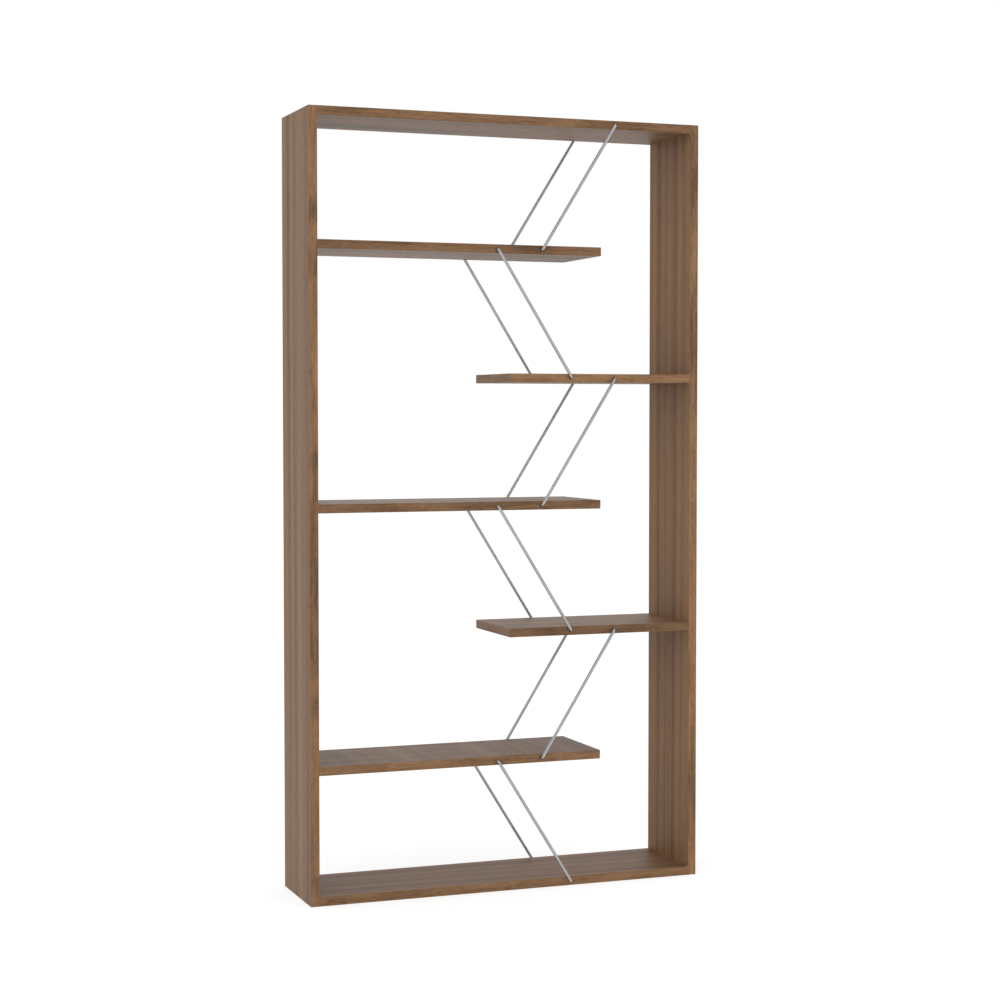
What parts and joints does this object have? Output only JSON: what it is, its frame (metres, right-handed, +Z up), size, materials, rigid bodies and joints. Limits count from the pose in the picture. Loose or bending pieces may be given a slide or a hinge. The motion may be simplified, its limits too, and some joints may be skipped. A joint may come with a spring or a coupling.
{
  "type": "zigzag bookshelf",
  "caption": "Open bookcase: walnut-look board frame with shelves fixed to alternate sides, tied front and back by slanted chrome rods that zigzag from shelf to shelf.",
  "frame": {"origin": "on the floor, under the middle of the frame", "axes": "+Z up, +X to the right along the shelves as seen from the front, +Y from the front to the back"},
  "size_m": [0.9, 0.2354, 1.685],
  "materials": {
    "walnut_board": "walnut-look melamine on chipboard, satin, grain along the board",
    "walnut_edge_band": "walnut-look edge strip, satin, grain along the strip",
    "chrome_rod": "satin chromed steel rod",
    "zinc_fitting": "die-cast zinc, dull grey",
    "steel_bolt": "zinc-plated steel",
    "beech_dowel": "plain grooved beech"
  },
  "bodies": {
    "root": {"back_rod_1": "chrome_rod", "back_rod_2": "chrome_rod", "back_rod_3": "chrome_rod", "back_rod_4": "chrome_rod", "back_rod_5": "chrome_rod", "back_rod_6": "chrome_rod", "bottom_panel": "walnut_board", "bottom_panel_back_band": "walnut_edge_band", "bottom_panel_front_band": "walnut_edge_band", "cam_bolts": "steel_bolt", "cams": "zinc_fitting", "dowels": "beech_dowel", "front_rod_1": "chrome_rod", "front_rod_2": "chrome_rod", "front_rod_3": "chrome_rod", "front_rod_4": "chrome_rod", "front_rod_5": "chrome_rod", "front_rod_6": "chrome_rod", "left_shelf_lower": "walnut_board", "left_shelf_lower_back_band": "walnut_edge_band", "left_shelf_lower_end_band": "walnut_edge_band", "left_shelf_lower_front_band": "walnut_edge_band", "left_shelf_middle": "walnut_board", "left_shelf_middle_back_band": "walnut_edge_band", "left_shelf_middle_end_band": "walnut_edge_band", "left_shelf_middle_front_band": "walnut_edge_band", "left_shelf_upper": "walnut_board", "left_shelf_upper_back_band": "walnut_edge_band", "left_shelf_upper_end_band": "walnut_edge_band", "left_shelf_upper_front_band": "walnut_edge_band", "left_side_panel": "walnut_board", "left_side_panel_back_band": "walnut_edge_band", "left_side_panel_front_band": "walnut_edge_band", "left_side_panel_top_band": "walnut_edge_band", "right_shelf_lower": "walnut_board", "right_shelf_lower_back_band": "walnut_edge_band", "right_shelf_lower_end_band": "walnut_edge_band", "right_shelf_lower_front_band": "walnut_edge_band", "right_shelf_upper": "walnut_board", "right_shelf_upper_back_band": "walnut_edge_band", "right_shelf_upper_end_band": "walnut_edge_band", "right_shelf_upper_front_band": "walnut_edge_band", "right_side_panel": "walnut_board", "right_side_panel_back_band": "walnut_edge_band", "right_side_panel_front_band": "walnut_edge_band", "right_side_panel_top_band": "walnut_edge_band", "top_panel": "walnut_board", "top_panel_back_band": "walnut_edge_band", "top_panel_front_band": "walnut_edge_band"}
  },
  "joints": []
}
